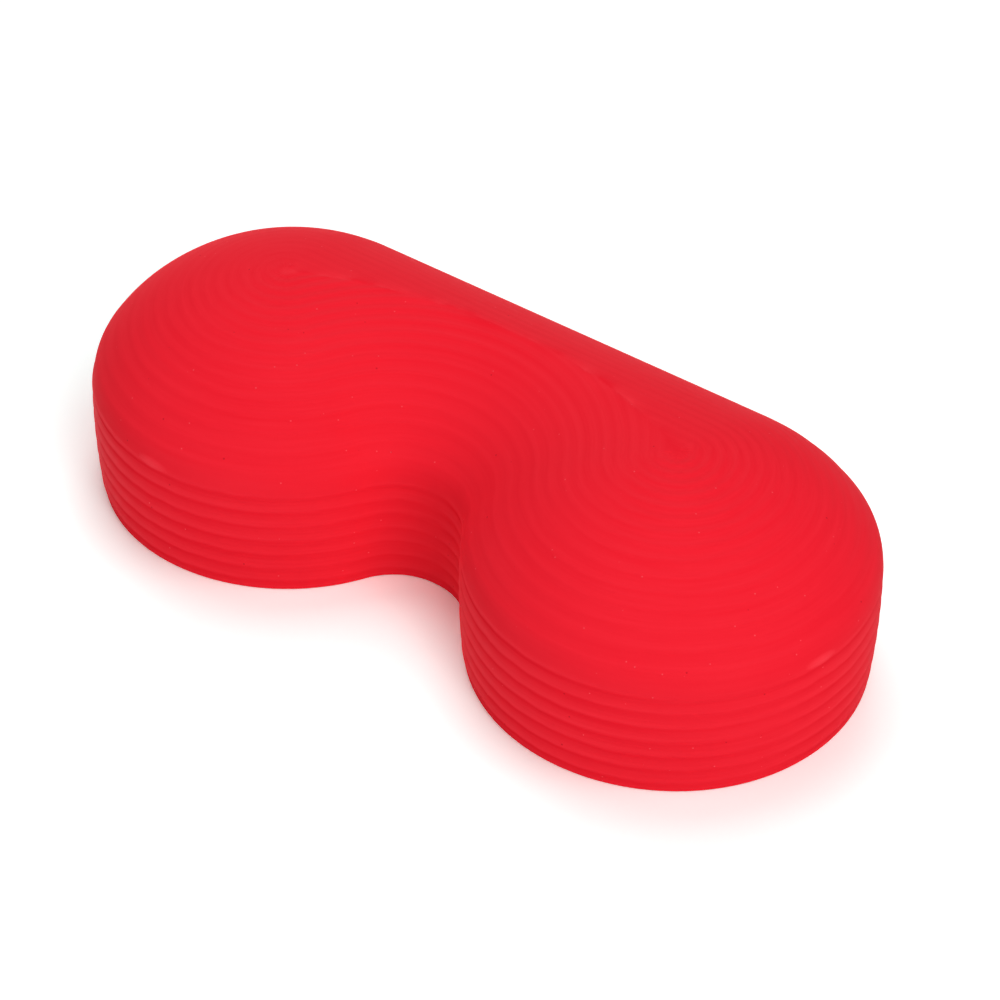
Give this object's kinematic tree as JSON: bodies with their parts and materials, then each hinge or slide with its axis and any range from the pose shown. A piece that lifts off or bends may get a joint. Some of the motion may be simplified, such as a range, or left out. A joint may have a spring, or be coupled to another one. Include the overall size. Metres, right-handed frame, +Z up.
{
  "type": "finger exerciser",
  "caption": "Palm-sized finger exerciser in soft red rubber: round domed lobes on a flat base, straight back, hollow waist for a finger or thumb.",
  "frame": {"origin": "centre of the flat underside, midway between the lobes and midway between back and front", "axes": "+Z up out of the domes, +X from the left lobe to the right lobe, +Y towards the straight back, -Y towards the hollow waist"},
  "size_m": [0.0966, 0.0448, 0.0273],
  "materials": {
    "red_rubber": "matte",
    "seam_rubber": "matte",
    "core_gel": "satin"
  },
  "bodies": {
    "root": {"lower_skin": "red_rubber", "rim_seam": "seam_rubber", "upper_skin": "red_rubber", "left_core": "core_gel", "right_core": "core_gel"}
  },
  "joints": []
}
